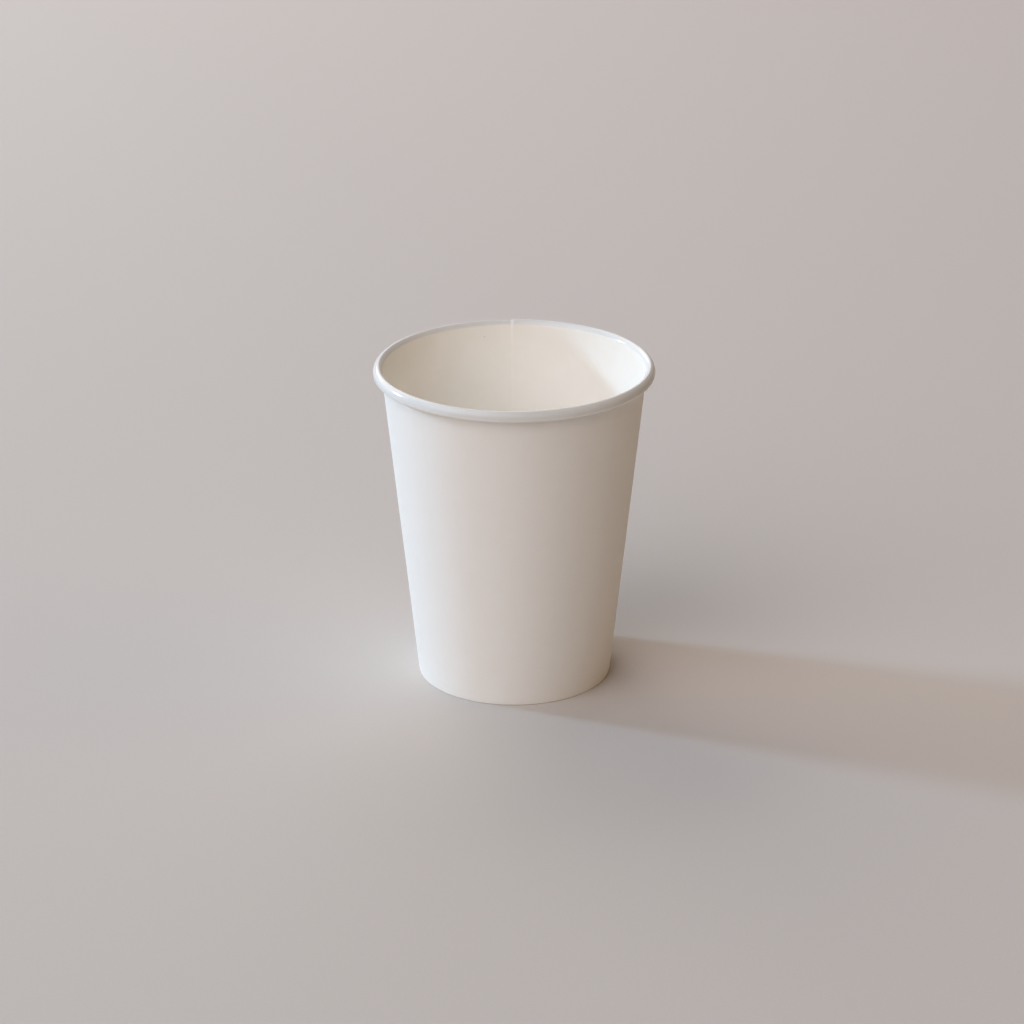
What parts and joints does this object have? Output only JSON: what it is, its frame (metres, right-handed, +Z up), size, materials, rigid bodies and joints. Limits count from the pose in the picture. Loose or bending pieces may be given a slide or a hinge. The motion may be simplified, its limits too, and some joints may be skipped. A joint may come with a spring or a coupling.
{
  "type": "paper coffee cup",
  "caption": "Plain tapered paper cup for hot drinks, with a rolled rim, a lapped side seam and a recessed bottom gripped by a folded foot.",
  "frame": {"origin": "centre of the foot, on the surface that the cup stands on", "axes": "+Z up along the cup's axis, -Y towards the viewer, with the side seam at the back towards +Y"},
  "size_m": [0.08, 0.08, 0.0935],
  "materials": {
    "side_board": "matte",
    "bottom_board": "satin"
  },
  "bodies": {
    "root": {"side_wall": "side_board", "base_disc": "bottom_board"}
  },
  "joints": []
}
